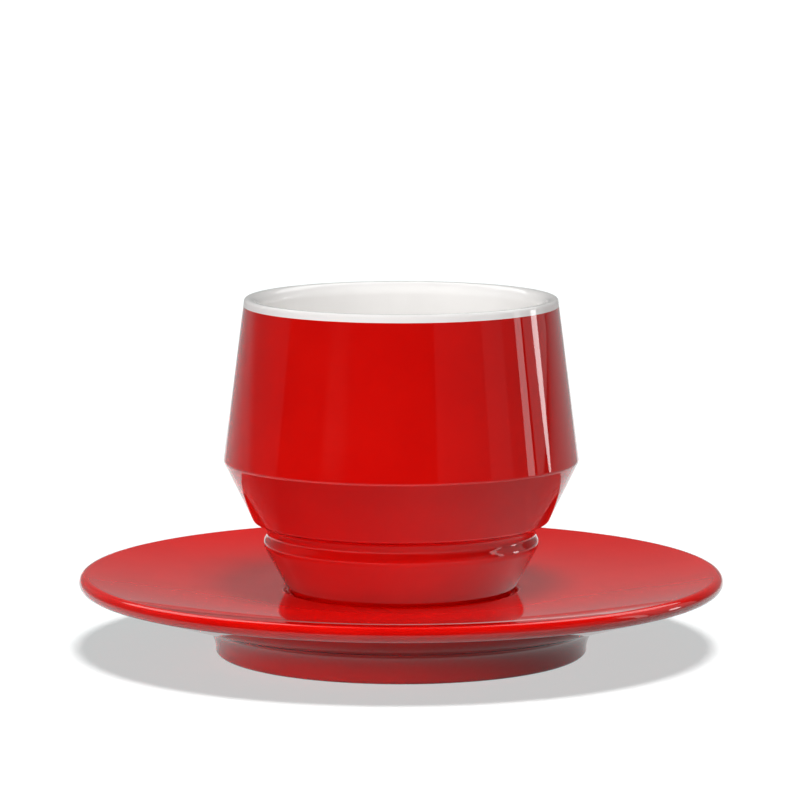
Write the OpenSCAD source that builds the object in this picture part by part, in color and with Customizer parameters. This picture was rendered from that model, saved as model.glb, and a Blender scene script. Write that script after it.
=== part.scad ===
// Stacking cappuccino cup in its saucer: thick glazed porcelain, red outside and white inside.
// Every piece is round about Z. Z = 0 is the table, and the cup stands in the saucer's well.

/* [Cup] */
// Height of the cup from its foot to the top of its lip
cup_h = 70.9; // [70:0.1:78]
// Outer radius that the upper wall leans in to at the lip
cup_lip_r = 36.35; // [35.5:0.05:38]
// Radius of the belly at its corner
cup_belly_r = 41.3; // [40:0.1:43]
// Height of the belly corner above the foot
cup_belly_z = 33; // [31:0.1:36]
// Radius of the lower end of the cone under the belly
cup_waist_r = 34.3; // [34:0.1:36]
// Height of that lower end above the foot
cup_waist_z = 18.7; // [18.6:0.1:19.5]
// Radius of the neck in the groove above the shoulder ring
cup_neck_r = 31.28; // [31:0.02:31.5]
// Radius of the shoulder ring at its lower edge, before that is rounded
ring_r = 32.36; // [32.2:0.02:32.5]
// Height of the ring's lower edge above the foot
ring_z = 13.55; // [13.3:0.05:13.8]
// Height of the shoulder ring, from its lower edge up to the neck
ring_h = 2.05; // [1.9:0.05:2.2]
// Radius of the cup's foot where it stands
cup_foot_r = 24.8; // [24:0.1:25.4]
// Thickness of the upper wall, measured level
cup_wall = 3.9; // [3.8:0.1:4.4]
// Thickness of the cup's floor above the hollow of its foot
cup_floor_t = 3.5; // [3:0.1:4.5]
// Depth of the hollow under the cup's foot
cup_hollow = 2; // [1:0.1:2.5]

/* [Saucer] */
// Outer radius of the saucer
saucer_r = 75; // [72:0.5:80]
// Thickness of the rounded rim
rim_t = 3.5; // [3:0.1:4]
// Height of the middle of the rim
rim_z = 16.9; // [16.5:0.1:19]
// Radius of the well that holds the cup, at its upper edge
well_r = 27.3; // [27:0.1:28.5]
// Height of the well's upper edge
well_edge_z = 14.9; // [14.5:0.1:15.2]
// Height of the well's floor, where the cup stands
well_z = 12; // [11.5:0.1:12.4]
// Outer radius of the saucer's foot
saucer_foot_r = 43.3; // [42:0.1:45]
// Width of the saucer's foot ring at the table
saucer_foot_w = 4.6; // [4:0.1:6]
// Height of the base inside the foot ring
saucer_base_z = 6.5; // [5.5:0.1:7]

/* [Glaze] */
// Thickness of the red coat
glaze_t = 0.4; // [0.2:0.05:0.45]
// Height of the white lip above the red coat
white_lip = 1.8; // [1.2:0.1:3]

/* [Hidden] */
$fn = 120;
red = [0.78, 0.04, 0.02];
white = [0.95, 0.95, 0.94];
// Largest turn, and largest distance, between two points of a rounded stretch
arc_step = 12;
arc_chord = 4;
// Points closer together than this count as one
merge_within = 0.01;

// Cup: lean of the upper wall, roundings and the inside
wall_lean = (cup_belly_r - cup_lip_r) / (cup_h - cup_belly_z);
belly_round = 1.5;
waist_round = 1.65;
ring_round = 2.3;
lip_outer_round = 0.8;
lip_inner_round = 2.6;
// The cone's end runs in to the neck along a shallow slope. Two hollows share the neck's height: a wide one
// that turns down from the slope, and one that turns out again to the ring's leaning face
waist_slope = 0.25;
neck_top = [cup_neck_r, cup_waist_z - waist_slope * (cup_waist_r - cup_neck_r)];
neck_low = [cup_neck_r, ring_z + ring_h];
neck_h = neck_top.y - neck_low.y;
slope_share = 0.75;
groove_share = 0.84;
groove_reach = groove_share * min(neck_h, slope_share * (cup_waist_r - cup_neck_r));
groove_round = groove_reach / tan(45 - atan(waist_slope) / 2);
ring_share = 0.15;
ring_hollow = ring_share * neck_h / tan(atan((ring_r - cup_neck_r) / ring_h) / 2);
mouth_r = cup_lip_r - cup_wall;
// Level thickness at the belly and the neck, and how much higher the corners lie on the inside
belly_wall = 4;
belly_climb = 0.4;
neck_wall = 4.88;
neck_climb = 1.25;
inner_belly_round = 5;
inner_waist_round = 18;
floor_z = cup_hollow + cup_floor_t;
inner_floor_r = 22.5;
inner_floor_round = 8;
cup_foot_w = 4;
hollow_lean = 1;
hollow_round = 1;

// Saucer: the upper face, the flange, the foot and their roundings
rim_round = rim_t / 2;
rim_c = [saucer_r - rim_round, rim_z];
// The upper face lies almost level outside the well and climbs to touch the rim's circle, with a bend
// between them that takes up most of the shorter of the two stretches
top_bend = [52, well_edge_z + 0.1];
top_run = rim_c - top_bend;
top_rise = atan2(top_run.y, top_run.x) + asin(rim_round / norm(top_run));
top_bend_share = 0.95;
top_round = top_bend_share * min(top_run.x, top_bend.x - well_r) / tan(top_rise / 2);
well_wall_lean = 0.8;
well_edge_round = 1;
well_floor_round = 0.8;
// Under the flange a cone, which touches the rim's circle and the sweep's, runs in to the foot
foot_sweep = 7.2;
foot_wall_h = 0.85;
foot_edge_round = 0.8;
flange_run = rim_c - [saucer_foot_r + foot_sweep, foot_wall_h];
flange_rise = atan2(flange_run.y, flange_run.x) - asin((rim_round + foot_sweep) / norm(flange_run));
base_lean = 1;
base_round = 2;

// Angle on a foot's rounded edge, below level, where the coat is wiped off
wipe_angle = 60;

// Direction from a to b, its left-hand normal, and where two lines cross
function dir(a, b) = (b - a) / norm(b - a);
function left(v) = [-v.y, v.x];
function crossing(p, u, q, v) = p + u * cross(q - p, v) / cross(u, v);

// Points on an arc about c, each with its outward normal; side is 1 on a bulge and -1 in a hollow
function arc(c, r, from, to, side = 1) =
    let (turn = abs(to - from), n = max(2, ceil(turn / arc_step), ceil(turn * PI / 180 * r / arc_chord)))
    [for (i = [0:n]) let (q = from + (to - from) * i / n, v = [cos(q), sin(q)]) [c + side * r * v, v]];

// Rounding of the corner p between its neighbours a and b, on a path with the solid on its right
function bend(a, p, b, r) =
    let (
        u = dir(a, p),
        v = dir(p, b),
        turn = atan2(cross(u, v), u * v),
        side = turn < 0 ? 1 : -1,
        from = atan2(u.x, -u.y),
        c = p - u * r * tan(abs(turn) / 2) - side * r * left(u)
    )
    arc(c, r, from, from + turn, side);

// End of a path at p, with the normal of its stretch from a to b
function end(p, a, b) = [[p, left(dir(a, b))]];

// Path through the points, with each inner point rounded by its radius
function path(pts, radii) =
    let (n = len(pts) - 1)
    concat(
        end(pts[0], pts[0], pts[1]),
        [for (i = [1:n - 1]) each bend(pts[i - 1], pts[i], pts[i + 1], radii[i - 1])],
        end(pts[n], pts[n - 1], pts[n])
    );

// The path's points, moved in from it by a depth
function inset(p, depth = 0) = [for (k = p) k[0] - depth * k[1]];
function reversed(list) = [for (i = [len(list) - 1:-1:0]) list[i]];
// The list without points that repeat the one before
function distinct(list) =
    [for (i = [0:len(list) - 1]) if (i == 0 || norm(list[i] - list[i - 1]) > merge_within) list[i]];

// Cup, from the line under the lip to the wiped edge of the foot
cup_line = [cup_lip_r + wall_lean * white_lip, cup_h - white_lip];
cup_ring = [ring_r, ring_z];
cup_foot = [cup_foot_r, 0];
cup_foot_bend = bend(cup_ring, cup_foot, [0, 0], foot_edge_round);
cup_foot_c = cup_foot_bend[0][0] - foot_edge_round * cup_foot_bend[0][1];
cup_foot_from = -atan((ring_r - cup_foot_r) / ring_z);
cup_outside = concat(
    path(
        [
            cup_line,
            [cup_belly_r, cup_belly_z],
            [cup_waist_r, cup_waist_z],
            neck_top,
            neck_low,
            cup_ring,
            cup_foot_bend[0][0]
        ],
        [belly_round, waist_round, groove_round, ring_hollow, ring_round]
    ),
    arc(cup_foot_c, foot_edge_round, cup_foot_from, -wipe_angle)
);

// Cup, from the middle of the floor up the inside and over the lip to the line
cup_inside = path(
    [
        [0, floor_z],
        [inner_floor_r, floor_z],
        [cup_neck_r - neck_wall, neck_low.y + neck_climb],
        [cup_belly_r - belly_wall, cup_belly_z + belly_climb],
        [mouth_r, cup_h],
        [cup_lip_r, cup_h],
        cup_line
    ],
    [inner_floor_round, inner_waist_round, inner_belly_round, lip_inner_round, lip_outer_round]
);

// Cup, from the wiped edge across the foot ring and its hollow to the middle
cup_under = concat(
    arc(cup_foot_c, foot_edge_round, -wipe_angle, -90),
    path(
        [
            [cup_foot_c.x, 0],
            [cup_foot_r - cup_foot_w, 0],
            [cup_foot_r - cup_foot_w - hollow_lean, cup_hollow],
            [0, cup_hollow]
        ],
        [foot_edge_round / 2, hollow_round]
    )
);

// Saucer, from the middle of the well over the rim and down to the wiped edge of the foot
foot_c = [saucer_foot_r - foot_edge_round, foot_edge_round];
foot_wall = [saucer_foot_r, foot_edge_round];
flange_dir = [cos(flange_rise), sin(flange_rise)];
flange_end = rim_c - rim_round * left(flange_dir);
saucer_outside = concat(
    path(
        [
            [0, well_z],
            [well_r - well_wall_lean, well_z],
            [well_r, well_edge_z],
            top_bend,
            rim_c + rim_round * [-sin(top_rise), cos(top_rise)]
        ],
        [well_floor_round, well_edge_round, top_round]
    ),
    arc(rim_c, rim_round, 90 + top_rise, 0),
    arc(rim_c, rim_round, 0, flange_rise - 90),
    path([flange_end, crossing(flange_end, flange_dir, foot_wall, [0, 1]), foot_wall], [foot_sweep]),
    arc(foot_c, foot_edge_round, 0, -wipe_angle)
);

// Saucer, from the wiped edge across the foot ring and its base to the middle
saucer_under = concat(
    arc(foot_c, foot_edge_round, -wipe_angle, -90),
    path(
        [
            [foot_c.x, 0],
            [saucer_foot_r - saucer_foot_w, 0],
            [saucer_foot_r - saucer_foot_w - base_lean, saucer_base_z],
            [0, saucer_base_z]
        ],
        [foot_edge_round / 2, base_round]
    )
);

module turned(outline) {
    rotate_extrude() polygon(distinct(outline));
}

module cup_body() {
    color(white)
        translate([0, 0, well_z])
            turned(concat(inset(cup_inside), inset(cup_outside, glaze_t), inset(cup_under)));
}

module cup_glaze() {
    color(red)
        translate([0, 0, well_z])
            turned(concat(inset(cup_outside), reversed(inset(cup_outside, glaze_t))));
}

module saucer_body() {
    color(white)
        turned(concat(inset(saucer_outside, glaze_t), inset(saucer_under)));
}

module saucer_glaze() {
    color(red)
        turned(concat(inset(saucer_outside), reversed(inset(saucer_outside, glaze_t))));
}

cup_body();
cup_glaze();
saucer_body();
saucer_glaze();
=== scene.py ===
import math

import bmesh
import bpy
import numpy as np
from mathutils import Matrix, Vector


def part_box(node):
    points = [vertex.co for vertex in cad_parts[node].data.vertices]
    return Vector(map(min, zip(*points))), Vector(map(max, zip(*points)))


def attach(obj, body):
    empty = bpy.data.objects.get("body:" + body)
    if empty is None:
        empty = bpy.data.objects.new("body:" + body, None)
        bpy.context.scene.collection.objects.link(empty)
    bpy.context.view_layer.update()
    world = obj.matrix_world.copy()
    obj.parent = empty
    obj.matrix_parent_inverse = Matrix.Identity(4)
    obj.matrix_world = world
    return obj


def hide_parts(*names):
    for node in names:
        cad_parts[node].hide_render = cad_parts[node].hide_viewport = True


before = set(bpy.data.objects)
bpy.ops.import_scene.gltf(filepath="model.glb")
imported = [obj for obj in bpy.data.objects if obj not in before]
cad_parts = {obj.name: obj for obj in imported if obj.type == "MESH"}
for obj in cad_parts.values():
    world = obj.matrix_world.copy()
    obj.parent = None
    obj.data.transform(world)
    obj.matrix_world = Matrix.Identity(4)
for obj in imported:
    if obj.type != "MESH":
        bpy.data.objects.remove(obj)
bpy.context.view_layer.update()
mm = 0.001
scene = bpy.context.scene


def linearColour(hexCode):
    # each channel of the sRGB hex over 255, with the sRGB curve undone
    channels = np.array([int(hexCode[i:i + 2], 16) for i in (1, 3, 5)]) / 255
    linear = np.where(channels <= 0.04045, channels / 12.92, ((channels + 0.055) / 1.055) ** 2.4)
    return (*linear.tolist(), 1.0)


def addNode(tree, kind, settings, links):
    # settings name the node's own properties or its sockets' values, links name what feeds its sockets
    node = tree.nodes.new(kind)
    for name, value in settings.items():
        if name in node.inputs:
            node.inputs[name].default_value = value
        else:
            setattr(node, name, value)
    for name, source in links.items():
        tree.links.new(source, node.inputs[name])
    return node


def crossing(p, pRise, q, qRise):
    # where the line through p that rises at one angle meets the line through q that rises at another:
    # p + t*(cos, sin) with t = cross(q - p, qDirection) / cross(pDirection, qDirection)
    along = np.array([math.cos(pRise), math.sin(pRise)])
    gap = np.subtract(q, p)
    t = (gap[0] * math.sin(qRise) - gap[1] * math.cos(qRise)) / math.sin(qRise - pRise)
    return np.asarray(p) + t * along


def roundedProfile(corners, radii):
    # Corners are (radius, height) in mm along a path with the solid on its right. An inner corner p
    # between the directions u and v gives way to an arc of radius r that starts r*tan(turn/2) before p:
    # the point at angle t is start + r*(u*sin|t| + side*(1 - cos t)), and its outward normal is the left
    # of u turned by t. A support point just outside each end of an arc keeps the straight stretches
    # straight when shaded.
    p = np.asarray(corners, float)
    r = np.asarray(radii, float)[:, None]
    along = np.diff(p, axis=0)
    along /= np.linalg.norm(along, axis=1, keepdims=True)
    left = np.stack([-along[:, 1], along[:, 0]], axis=1)
    u, uLeft, v = along[:-1], left[:-1], along[1:]
    turn = np.arctan2(np.sum(uLeft * v, axis=1), np.sum(u * v, axis=1))[:, None]
    start = p[1:-1] - u * r * np.tan(np.abs(turn) / 2)
    t = (np.linspace(0, 1, turned["arcSteps"] + 1) * turn)[..., None]
    side = np.sign(turn)[..., None] * uLeft[:, None]
    arcs = start[:, None] + r[..., None] * (np.sin(np.abs(t)) * u[:, None] + (1 - np.cos(t)) * side)
    normals = np.cos(t) * uLeft[:, None] - np.sin(t) * u[:, None]
    before = arcs[:, :1] - turned["support"] * u[:, None]
    after = arcs[:, -1:] + turned["support"] * v[:, None]
    points = np.concatenate([before, arcs, after], axis=1).reshape(-1, 2)
    outward = np.concatenate([normals[:, :1], normals, normals[:, -1:]], axis=1).reshape(-1, 2)
    return np.vstack([p[:1], points, p[-1:]]), np.vstack([left[:1], outward, left[-1:]])


def wipedEdge(points, outward, edgeRound):
    # first row on the rounded edge of a foot whose normal points further down than the wipe angle
    below = -math.sin(math.radians(turned["wipeAngle"]))
    return int(np.argmax((points[:, 1] < edgeRound) & (outward[:, 1] < below)))


def revolved(profile, turnCount):
    # surface of revolution: the profile point (r, z) in mm at turn a is (r cos a, r sin a, z) in metres,
    # and the turns wrap round at the seam
    turns = np.linspace(0, 2 * np.pi, turnCount, endpoint=False)
    r, z = np.asarray(profile).T[..., None] * mm
    grid = np.stack(np.broadcast_arrays(r * np.cos(turns), r * np.sin(turns), z), axis=-1)
    rows = np.arange(grid.shape[0] * turnCount).reshape(grid.shape[:2])
    nextTurn = np.roll(rows, -1, axis=1)
    quads = np.stack([rows[:-1], rows[1:], nextTurn[1:], nextTurn[:-1]], axis=-1)
    return grid.reshape(-1, 3), quads.reshape(-1, 4)


def turnedPiece(name, profile, materials, bareBelow, body, node, loop=False):
    # A profile turned round the axis. A loop's last row joins its first, and rows on the axis merge into
    # one pole. Faces with both rows under bareBelow take the last material.
    if loop:
        profile = np.vstack([profile, profile[:1]])
    spots, quads = revolved(profile, turned["turns"])
    low = profile[:, 1] < bareBelow
    bare = np.where(low[:-1] & low[1:], len(materials) - 1, 0)
    mesh = bpy.data.meshes.new(name)
    mesh.from_pydata(spots, [], quads)
    mesh.polygons.foreach_set("material_index", np.repeat(bare, turned["turns"]).astype(np.int32))
    merged = bmesh.new()
    merged.from_mesh(mesh)
    bmesh.ops.remove_doubles(merged, verts=merged.verts, dist=turned["mergeWithin"] * mm)
    merged.to_mesh(mesh)
    merged.free()
    mesh.shade_smooth()
    mesh.set_sharp_from_angle(angle=math.radians(turned["sharpAbove"]))
    for material in materials:
        mesh.materials.append(material)
    piece = bpy.data.objects.new(name, mesh)
    scene.collection.objects.link(piece)
    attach(piece, body)
    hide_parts(node)
    print(f"{name}: {len(mesh.polygons)} faces on {body}")
    return piece


turned = {
    "turns": 256,
    "arcSteps": 24,
    "support": 0.05,  # mm
    "mergeWithin": 0.001,  # mm
    "sharpAbove": 50,  # degrees, above which an edge of a profile stays sharp
    "wipeAngle": 60,  # degrees below level on a foot's rounded edge, where the coat was wiped off
    "coat": 0.4,  # mm, thickness of the red coat
}

# Coloured glaze over porcelain, sprayed on and fired: a deep, even, mirror-smooth red. It lies in a thin
# glassy layer, so the eye sees clean reflections with a very slight waviness and hardly any change of tone.
redGlazeSettings = {
    "colour": "#E30902",
    "pooled": "#DE0601",  # where the coat ran a little thicker
    "cloud": 14,  # mm, size of the slow change of tone
    "wave": 9,  # mm, size of the waviness of the fired surface
    "waveDepth": 0.001,  # mm
    "roughness": (0.02, 0.04),
    "ior": 1.5,
}

# Porcelain under clear glaze: a bright, slightly warm white with soft reflections.
whiteGlazeSettings = {
    "colour": "#F9F7F5",
    "pooled": "#F5F3F1",
    "cloud": 16,
    "wave": 9,
    "waveDepth": 0.001,
    "roughness": (0.03, 0.06),
    "ior": 1.5,
}

# Bare fired porcelain where the foot ring was wiped before firing: matt, a little warmer, fine as sugar.
bisqueSettings = {
    "colour": "#E6E0D6",
    "pooled": "#D9D2C6",
    "cloud": 5,
    "wave": 0.5,
    "waveDepth": 0.02,
    "roughness": (0.55, 0.7),
    "ior": 1.5,
}


firing = {
    "toneStops": (0.35, 0.65),  # of the slow noise, where the pooled tone ends and the plain one begins
    "cloudDetail": 2.0,
    "waveDetail": 1.0,
}


def firedSurface(name, settings):
    # Slow noise drifts the tone between two colours and the roughness between two values, and a second
    # noise lifts the surface by up to the wave's depth.
    material = bpy.data.materials.new(name)
    material.use_nodes = True
    tree = material.node_tree
    shader = tree.nodes["Principled BSDF"]
    shader.inputs["IOR"].default_value = settings["ior"]
    place = addNode(tree, "ShaderNodeTexCoord", {}, {}).outputs["Object"]
    cloudNoise = {"Scale": 1 / (settings["cloud"] * mm), "Detail": firing["cloudDetail"]}
    cloud = addNode(tree, "ShaderNodeTexNoise", cloudNoise, {"Vector": place}).outputs["Fac"]
    tone = addNode(tree, "ShaderNodeValToRGB", {}, {"Fac": cloud})
    for stop, position, colour in zip(tone.color_ramp.elements, firing["toneStops"], ("pooled", "colour")):
        stop.position = position
        stop.color = linearColour(settings[colour])
    low, high = settings["roughness"]
    rough = addNode(tree, "ShaderNodeMapRange", {"To Min": low, "To Max": high}, {"Value": cloud})
    waveNoise = {"Scale": 1 / (settings["wave"] * mm), "Detail": firing["waveDetail"]}
    wave = addNode(tree, "ShaderNodeTexNoise", waveNoise, {"Vector": place}).outputs["Fac"]
    relief = {"Strength": 1.0, "Distance": settings["waveDepth"] * mm}
    bump = addNode(tree, "ShaderNodeBump", relief, {"Height": wave})
    tree.links.new(tone.outputs["Color"], shader.inputs["Base Color"])
    tree.links.new(rough.outputs["Result"], shader.inputs["Roughness"])
    tree.links.new(bump.outputs["Normal"], shader.inputs["Normal"])
    return material


redGlaze = firedSurface("redGlazeOnPorcelain", redGlazeSettings)
whiteGlaze = firedSurface("clearGlazedPorcelain", whiteGlazeSettings)
bisque = firedSurface("unglazedPorcelain", bisqueSettings)
print("materials: red glaze, clear-glazed porcelain, unglazed porcelain")

# Cup. Heights count from its foot. The wall leans in from the belly to the lip, and under the belly a cone
# runs down to a groove, a shoulder ring for stacking and the cone of the foot.
cup = {
    "lipRadius": 36.35,
    "wall": 3.9,
    "lipRounds": (2.6, 0.8),  # inner and outer
    "whiteLip": 1.8,
    "belly": (41.3, 33.0),
    "bellyRound": 1.5,
    "waist": (34.3, 18.7),
    "waistRound": 1.65,
    "neck": ((31.28, 17.945), (31.28, 15.6)),  # upper and lower end
    "neckRounds": (2.436, 1.42),
    "ring": (32.36, 13.55),
    "ringRound": 2.3,
    "footRadius": 24.8,
    "footWidth": 4.0,
    "footRound": 0.8,
    "hollow": (19.8, 2.0),  # radius of its roof and its depth
    "hollowRound": 1.0,
    "floor": (22.5, 5.5),
    "floorRound": 8.0,
    "innerWaist": (26.4, 16.85),
    "innerWaistRound": 18.0,
    "innerBelly": (37.3, 33.4),
    "innerBellyRound": 5.0,
}
cupLow, cupHigh = np.array(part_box("cup_body")) / mm
cupHeight = cupHigh[2] - cupLow[2]
lean = (cup["belly"][0] - cup["lipRadius"]) / (cupHeight - cup["belly"][1])
cupLine = (cup["lipRadius"] + lean * cup["whiteLip"], cupHeight - cup["whiteLip"])
cupOutside, cupOutward = roundedProfile(
    [
        cupLine,
        cup["belly"],
        cup["waist"],
        *cup["neck"],
        cup["ring"],
        (cup["footRadius"], 0),
        (cup["footRadius"] - cup["footWidth"], 0),
        cup["hollow"],
        (0, cup["hollow"][1]),
    ],
    [
        cup["bellyRound"],
        cup["waistRound"],
        *cup["neckRounds"],
        cup["ringRound"],
        cup["footRound"],
        cup["footRound"] / 2,
        cup["hollowRound"],
    ],
)
cupInside, _ = roundedProfile(
    [
        (0, cup["floor"][1]),
        cup["floor"],
        cup["innerWaist"],
        cup["innerBelly"],
        (cup["lipRadius"] - cup["wall"], cupHeight),
        (cup["lipRadius"], cupHeight),
        cupLine,
    ],
    [cup["floorRound"], cup["innerWaistRound"], cup["innerBellyRound"], *cup["lipRounds"]],
)
cupEdge = wipedEdge(cupOutside, cupOutward, cup["footRound"])
cupCoat = cupOutside[:cupEdge]
cupUnder = cupCoat - turned["coat"] * cupOutward[:cupEdge]
lift = np.array([0, cupLow[2]])
cupWhite = turnedPiece(
    "cupPorcelain",
    np.vstack([cupInside, cupUnder, cupOutside[cupEdge:]]) + lift,
    [whiteGlaze, bisque],
    cupLow[2] + cup["footRound"],
    "cup",
    "cup_body",
)
cupRed = turnedPiece(
    "cupRedCoat",
    np.vstack([cupCoat, cupUnder[::-1]]) + lift,
    [redGlaze],
    0,
    "cup",
    "cup_glaze",
    loop=True,
)

# Saucer. The upper face lies almost level round the well and climbs to a rounded rim. Under the flange a
# cone runs in to a wide sweep that ends on the wall of the foot.
saucer = {
    "rim": 3.5,
    "rimHeight": 16.9,
    "well": (27.3, 14.9),
    "wellLean": 0.8,
    "wellRounds": (0.8, 1.0),
    "topBend": (52.0, 15.0),
    "topBendShare": 0.95,  # of the shorter stretch beside it
    "footRadius": 43.3,
    "footWidth": 4.6,
    "footRound": 0.8,
    "sweep": 7.2,
    "sweepHeight": 0.85,
    "base": (37.7, 6.5),
    "baseRound": 2.0,
}
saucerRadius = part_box("saucer_glaze")[1][0] / mm
wellHeight = cupLow[2]
rimRound = saucer["rim"] / 2
rimMiddle = np.array([saucerRadius - rimRound, saucer["rimHeight"]])
# the upper face touches the rim's circle from above
topRun = rimMiddle - saucer["topBend"]
topRise = math.atan2(topRun[1], topRun[0]) + math.asin(rimRound / np.hypot(*topRun))
topReach = saucer["topBendShare"] * min(topRun[0], saucer["topBend"][0] - saucer["well"][0])
topRound = topReach / math.tan(topRise / 2)
# the cone is the line that touches the rim's circle from below and the sweep's circle from above
sweepMiddle = np.array([saucer["footRadius"] + saucer["sweep"], saucer["sweepHeight"]])
span = rimMiddle - sweepMiddle
flangeRise = math.atan2(span[1], span[0]) - math.asin((rimRound + saucer["sweep"]) / np.hypot(*span))
flangeEnd = rimMiddle + rimRound * np.array([math.sin(flangeRise), -math.cos(flangeRise)])
footTop = crossing(flangeEnd, flangeRise, (saucer["footRadius"], 0), math.pi / 2)
rimTop = rimMiddle + rimRound * np.array([-math.sin(topRise), math.cos(topRise)])
saucerOutside, saucerOutward = roundedProfile(
    [
        (0, wellHeight),
        (saucer["well"][0] - saucer["wellLean"], wellHeight),
        saucer["well"],
        saucer["topBend"],
        crossing(rimTop, topRise, flangeEnd, flangeRise),
        footTop,
        (saucer["footRadius"], 0),
        (saucer["footRadius"] - saucer["footWidth"], 0),
        saucer["base"],
        (0, saucer["base"][1]),
    ],
    [
        *saucer["wellRounds"],
        topRound,
        rimRound,
        saucer["sweep"],
        saucer["footRound"],
        saucer["footRound"] / 2,
        saucer["baseRound"],
    ],
)
saucerEdge = wipedEdge(saucerOutside, saucerOutward, saucer["footRound"])
saucerCoat = saucerOutside[:saucerEdge]
saucerUnder = saucerCoat - turned["coat"] * saucerOutward[:saucerEdge]
saucerWhite = turnedPiece(
    "saucerPorcelain",
    np.vstack([saucerUnder, saucerOutside[saucerEdge:]]),
    [whiteGlaze, bisque],
    saucer["footRound"],
    "saucer",
    "saucer_body",
)
saucerRed = turnedPiece(
    "saucerRedCoat",
    np.vstack([saucerCoat, saucerUnder[::-1]]),
    [redGlaze],
    0,
    "saucer",
    "saucer_glaze",
)

# Stage: pale floor and camera. What the eye and a reflection see of the floor is part lit by the lamps,
# where the shadow falls, and part its own white.
stage = {
    "floorLit": 0.46,
    "floorBounce": 0.15,
    "floorWhite": 0.55,
    "floorTint": "#F8FFFF",  # keeps the shadow neutral under the red saucer
    "floorHalf": 20.0,  # m
    "sheetHeight": 0.002,  # m
    "cameraPlace": (-0.00027, -1.09701, 0.2038),
    "cameraPitch": 7.523,  # degrees below level
    "lens": 214.41,
    "sensor": 36.0,
}
corner = np.array([[-1, -1, 0], [1, -1, 0], [1, 1, 0], [-1, 1, 0]]) * stage["floorHalf"]
floorMesh = bpy.data.meshes.new("floor")
floorMesh.from_pydata(corner, [], [(0, 1, 2, 3)])
floorMaterial = bpy.data.materials.new("paleFloor")
floorMaterial.use_nodes = True
tree = floorMaterial.node_tree
tree.nodes.remove(tree.nodes["Principled BSDF"])
ray = addNode(tree, "ShaderNodeLightPath", {}, {}).outputs
seen = addNode(tree, "ShaderNodeMath", {"operation": "MAXIMUM"}, {})
tree.links.new(ray["Is Camera Ray"], seen.inputs[0])
tree.links.new(ray["Is Glossy Ray"], seen.inputs[1])
seenThrough = addNode(tree, "ShaderNodeMath", {"operation": "MAXIMUM"}, {})
tree.links.new(seen.outputs[0], seenThrough.inputs[0])
tree.links.new(ray["Is Transmission Ray"], seenThrough.inputs[1])
whiteShare = addNode(tree, "ShaderNodeMath", {"operation": "MULTIPLY"}, {})
tree.links.new(seenThrough.outputs[0], whiteShare.inputs[0])
whiteShare.inputs[1].default_value = stage["floorWhite"]
ownWhite = {"Color": linearColour(stage["floorTint"])}
glow = addNode(tree, "ShaderNodeEmission", ownWhite, {"Strength": whiteShare.outputs[0]})
shades = {"To Min": stage["floorLit"], "To Max": stage["floorBounce"]}
paleness = addNode(tree, "ShaderNodeMapRange", shades, {"Value": ray["Is Diffuse Ray"]})
matt = addNode(tree, "ShaderNodeBsdfDiffuse", {}, {"Color": paleness.outputs["Result"]})
both = addNode(tree, "ShaderNodeAddShader", {}, {})
tree.links.new(glow.outputs[0], both.inputs[0])
tree.links.new(matt.outputs[0], both.inputs[1])
tree.links.new(both.outputs[0], tree.nodes["Material Output"].inputs["Surface"])
floorMesh.materials.append(floorMaterial)
floor = bpy.data.objects.new("floor", floorMesh)
scene.collection.objects.link(floor)

# Glowing grey sheets on the floor beside and in front of the set, out of the camera's view. They are painted
# reflections: they show in the glaze alone, and keep its edges from mirroring an endless white floor.
paintedReflectionSheets = {
    "leftSheet": {"x": (-20.0, -0.16), "y": (-20.0, 20.0), "level": 0.69, "fall": 0.76},
    "rightSheet": {"x": (0.16, 20.0), "y": (-20.0, 20.0), "level": 0.57, "fall": 0.22},
    "frontSheet": {"x": (-0.16, 0.16), "y": (-2.0, -0.2), "level": 0.5, "fall": 0.0},
}
# A painted reflection: a glowing grey ring just above the saucer's face, lighter to the right. It shows in
# the cup's glaze alone, where it takes the place of the saucer's red, and it is clear at the back and from
# below.
paintedReflectionRing = {
    # mm, radius and height
    "profile": ((27.0, 15.2), (34.0, 15.35), (43.0, 15.65), (52.0, 16.3), (62.0, 17.3), (72.0, 18.9)),
    "turns": 96,
    "level": 0.3,
    "rise": 0.22,
    "fade": (-0.6, 0.5),
}


def mirroredSheet(name, spots, faces):
    # a stage mesh that only reflections see: it is hidden from the camera, adds no bounced light and casts
    # no shadow. Its node tree holds only the output.
    mesh = bpy.data.meshes.new(name)
    mesh.from_pydata(spots, [], faces)
    material = bpy.data.materials.new(name)
    material.use_nodes = True
    tree = material.node_tree
    tree.nodes.remove(tree.nodes["Principled BSDF"])
    mesh.materials.append(material)
    sheet = bpy.data.objects.new(name, mesh)
    sheet.visible_camera = False
    sheet.visible_diffuse = False
    sheet.visible_shadow = False
    scene.collection.objects.link(sheet)
    return tree


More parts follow.
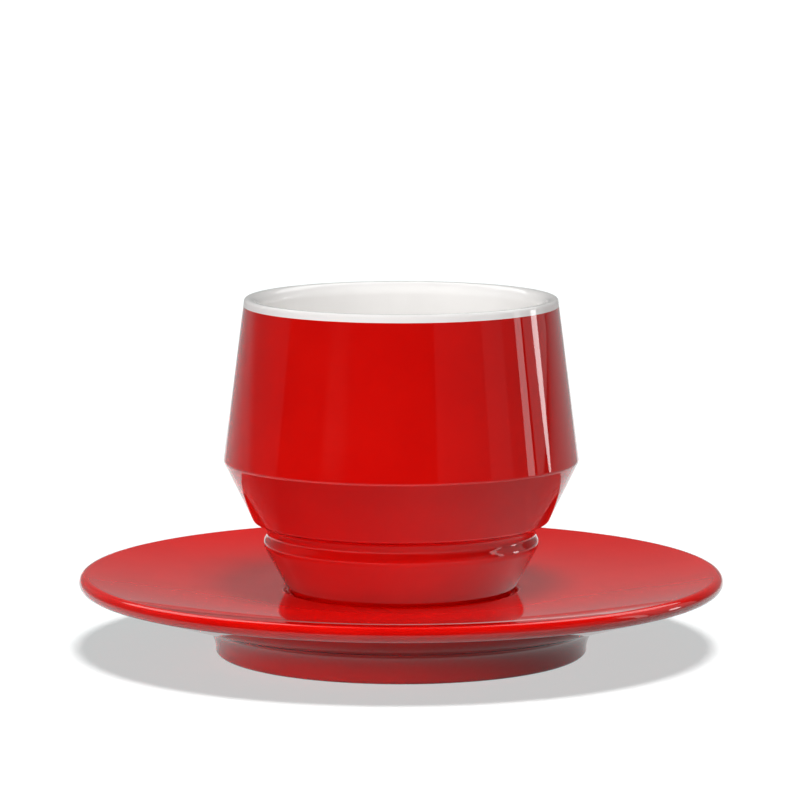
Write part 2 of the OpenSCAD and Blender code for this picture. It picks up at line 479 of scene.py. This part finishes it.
def addFloorSheet(name, sheet):
    # a level rectangle as bright as level / (1 + fall*|x|), with x in metres
    (left, right), (front, back) = sheet["x"], sheet["y"]
    corners = ((left, front), (right, front), (right, back), (left, back))
    tree = mirroredSheet(name, [(x, y, stage["sheetHeight"]) for x, y in corners], [(0, 1, 2, 3)])
    place = addNode(tree, "ShaderNodeTexCoord", {}, {}).outputs["Object"]
    across = addNode(tree, "ShaderNodeSeparateXYZ", {}, {"Vector": place}).outputs["X"]
    away = addNode(tree, "ShaderNodeMath", {"operation": "ABSOLUTE"}, {"Value": across})
    slope = addNode(tree, "ShaderNodeMath", {"operation": "MULTIPLY_ADD"}, {"Value": away.outputs[0]})
    slope.inputs[1].default_value = sheet["fall"]
    slope.inputs[2].default_value = 1.0
    strength = addNode(tree, "ShaderNodeMath", {"operation": "DIVIDE", "Value": sheet["level"]}, {})
    tree.links.new(slope.outputs[0], strength.inputs[1])
    glow = addNode(tree, "ShaderNodeEmission", {}, {"Strength": strength.outputs[0]})
    tree.links.new(glow.outputs[0], tree.nodes["Material Output"].inputs["Surface"])


def addRingSheet(name, ring):
    # a turned sheet as bright as level + rise*x/r. Seen from above it covers a share that falls from 1 to 0
    # as y/r goes through the two values of its fade, and seen from below it covers nothing.
    tree = mirroredSheet(name, *revolved(ring["profile"], ring["turns"]))
    place = addNode(tree, "ShaderNodeTexCoord", {}, {}).outputs["Object"]
    level = addNode(tree, "ShaderNodeVectorMath", {"operation": "MULTIPLY"}, {})
    tree.links.new(place, level.inputs[0])
    level.inputs[1].default_value = (1, 1, 0)
    unit = addNode(tree, "ShaderNodeVectorMath", {"operation": "NORMALIZE"}, {"Vector": level.outputs[0]})
    share = addNode(tree, "ShaderNodeSeparateXYZ", {}, {"Vector": unit.outputs[0]}).outputs
    strength = addNode(tree, "ShaderNodeMath", {"operation": "MULTIPLY_ADD"}, {"Value": share["X"]})
    strength.inputs[1].default_value = ring["rise"]
    strength.inputs[2].default_value = ring["level"]
    fading = {"interpolation_type": "SMOOTHSTEP", "To Min": 1, "To Max": 0}
    fading["From Min"], fading["From Max"] = ring["fade"]
    cover = addNode(tree, "ShaderNodeMapRange", fading, {"Value": share["Y"]})
    glow = addNode(tree, "ShaderNodeEmission", {}, {"Strength": strength.outputs[0]})
    clear = addNode(tree, "ShaderNodeBsdfTransparent", {}, {})
    above = addNode(tree, "ShaderNodeMixShader", {}, {"Fac": cover.outputs["Result"]})
    tree.links.new(clear.outputs[0], above.inputs[1])
    tree.links.new(glow.outputs[0], above.inputs[2])
    isBelow = addNode(tree, "ShaderNodeNewGeometry", {}, {}).outputs["Backfacing"]
    oneSided = addNode(tree, "ShaderNodeMixShader", {}, {"Fac": isBelow})
    tree.links.new(above.outputs[0], oneSided.inputs[1])
    tree.links.new(clear.outputs[0], oneSided.inputs[2])
    tree.links.new(oneSided.outputs[0], tree.nodes["Material Output"].inputs["Surface"])


for name, sheet in paintedReflectionSheets.items():
    addFloorSheet(name, sheet)
addRingSheet("paintedReflectionRing", paintedReflectionRing)

cameraData = bpy.data.cameras.new("camera")
cameraData.lens = stage["lens"]
cameraData.sensor_width = stage["sensor"]
camera = bpy.data.objects.new("camera", cameraData)
camera.location = stage["cameraPlace"]
camera.rotation_euler = (math.pi / 2 - math.radians(stage["cameraPitch"]), 0, 0)
scene.collection.objects.link(camera)
scene.camera = camera

# Light. A lamp shines evenly from (azimuth, elevation): azimuth 0 is the camera's side and grows to the
# right, in degrees. Its spread softens its shadow, its level is how bright it makes a white face turned to
# it, and it doesn't show in the glaze. It lights only the group that it names, and where it names one for
# its shadow, only that group casts it.
lamps = {
    "floorLamp": {"from": (12.5, 67), "spread": 14, "level": 1.2, "on": "ground"},
    "keyLamp": {"from": (9, 65), "spread": 14, "level": 0.5, "on": "red"},
    "topLamp": {"from": (28, 77), "spread": 20, "level": 0.52, "on": "saucer"},
    "fillLamp": {"from": (0, 86), "spread": 14, "level": 0.3, "on": "saucer", "shadowOf": "saucer"},
    "mouthLamp": {"from": (10, 24), "spread": 20, "level": 0.34, "on": "white"},
    "leftLipLamp": {"from": (-70, 30), "spread": 30, "level": 0.17, "on": "white"},
    "rightLipLamp": {"from": (70, 30), "spread": 30, "level": 0.15, "on": "white"},
    "frontLamp": {"from": (-15, 35), "spread": 30, "level": 0.23, "on": "cup"},
    "lowLamp": {"from": (-45, 8), "spread": 16, "level": 0.21, "on": "ware"},
    "saucerLamp": {"from": (-25, 14), "spread": 20, "level": 0.2, "on": "saucer"},
    "backLamp": {"from": (180, 45), "spread": 30, "level": 0.28, "on": "cup"},
    "skyLamp": {"from": (0, 90), "spread": 170, "level": 0.12, "on": "ware"},
}
# A card stands at (azimuth, elevation, metres), its level is the brightness of its face, and it shows in
# the glaze alone.
cards = {
    "leftCard": {"at": (-120, 12, 2.0), "shape": "RECTANGLE", "size": (2.65, 2.0), "level": 0.1},
    "rightFarCard": {"at": (50, 10, 2.2), "shape": "RECTANGLE", "size": (2.2, 1.6), "level": 0.1},
    "rightDimCard": {"at": (74, 10, 2.0), "shape": "RECTANGLE", "size": (1.05, 1.6), "level": 0.12},
    "rightSoftCard": {"at": (92, 10, 2.0), "shape": "RECTANGLE", "size": (0.22, 1.6), "level": 2.2},
    "rightBackCard": {"at": (112, 21.3, 2.1), "shape": "RECTANGLE", "size": (1.15, 1.6), "level": 0.48},
    "rightCard": {"at": (111.0, 5, 2.0), "shape": "ELLIPSE", "size": (0.27, 0.385), "level": 4.7},
    "backTopCard": {"at": (180, 50, 2.0), "shape": "RECTANGLE", "size": (3.0, 1.0), "level": 2.0},
}
aim = np.array([0, 0, 0.05])  # m, the point that every light looks at
sunDistance = 1.0  # m, without effect on a sun's light
groups = {
    "ground": [floor],
    "white": [cupWhite],
    "red": [cupRed],
    "cup": [cupWhite, cupRed],
    "saucer": [saucerRed, saucerWhite],
    "ware": [cupWhite, cupRed, saucerRed, saucerWhite],
}
reached = {name: bpy.data.collections.new(name) for name in groups}
for name, objects in groups.items():
    for piece in objects:
        reached[name].objects.link(piece)


def addLight(name, kind, settings, azimuth, elevation, distance, isCard):
    # a light that looks back at the cup: its place is aim + distance*(sin a cos e, -cos a cos e, sin e)
    turn, tilt = math.radians(azimuth), math.radians(elevation)
    toLight = np.array([math.sin(turn) * math.cos(tilt), -math.cos(turn) * math.cos(tilt), math.sin(tilt)])
    data = bpy.data.lights.new(name, kind)
    for key, value in settings.items():
        setattr(data, key, value)
    light = bpy.data.objects.new(name, data)
    light.location = aim + distance * toLight
    light.rotation_euler = (math.pi / 2 - tilt, 0, turn)
    light.visible_glossy = isCard
    light.visible_diffuse = not isCard
    scene.collection.objects.link(light)
    return light


for name, lamp in lamps.items():
    sun = {"energy": math.pi * lamp["level"], "angle": math.radians(lamp["spread"])}
    light = addLight(name, "SUN", sun, *lamp["from"], sunDistance, False)
    light.light_linking.receiver_collection = reached[lamp["on"]]
    if "shadowOf" in lamp:
        light.light_linking.blocker_collection = reached[lamp["shadowOf"]]
for name, card in cards.items():
    width, height = card["size"]
    face = {"shape": card["shape"], "size": width, "size_y": height}
    face["energy"] = math.pi * width * height * card["level"]
    addLight(name, "AREA", face, *card["at"], True)

# World: a dim room, lighter behind the cup towards the horizon
room = {
    "front": 0.05,
    "back": 0.3,
    "high": 0.1,
    "highAt": 0.6,  # sine of the climb at which the back has dimmed to high
    "backFrom": 0.5,  # share of a direction that points back, at which the back begins
}
world = bpy.data.worlds.new("studio")
world.use_nodes = True
scene.world = world
tree = world.node_tree
direction = addNode(tree, "ShaderNodeTexCoord", {}, {}).outputs["Generated"]
parts = addNode(tree, "ShaderNodeSeparateXYZ", {}, {"Vector": direction}).outputs
climb = {"From Min": 0.0, "From Max": room["highAt"], "To Min": room["back"], "To Max": room["high"]}
behind = addNode(tree, "ShaderNodeMapRange", climb, {"Value": parts["Z"]})
around = {"interpolation_type": "SMOOTHSTEP", "From Min": room["backFrom"], "To Min": room["front"]}
feeds = {"Value": parts["Y"], "To Max": behind.outputs["Result"]}
strength = addNode(tree, "ShaderNodeMapRange", around, feeds)
background = tree.nodes["Background"].inputs
background["Color"].default_value = (1, 1, 1, 1)
tree.links.new(strength.outputs["Result"], background["Strength"])
scene.view_settings.view_transform = "Standard"
print("stage: floor, sheets, camera, lights, world")
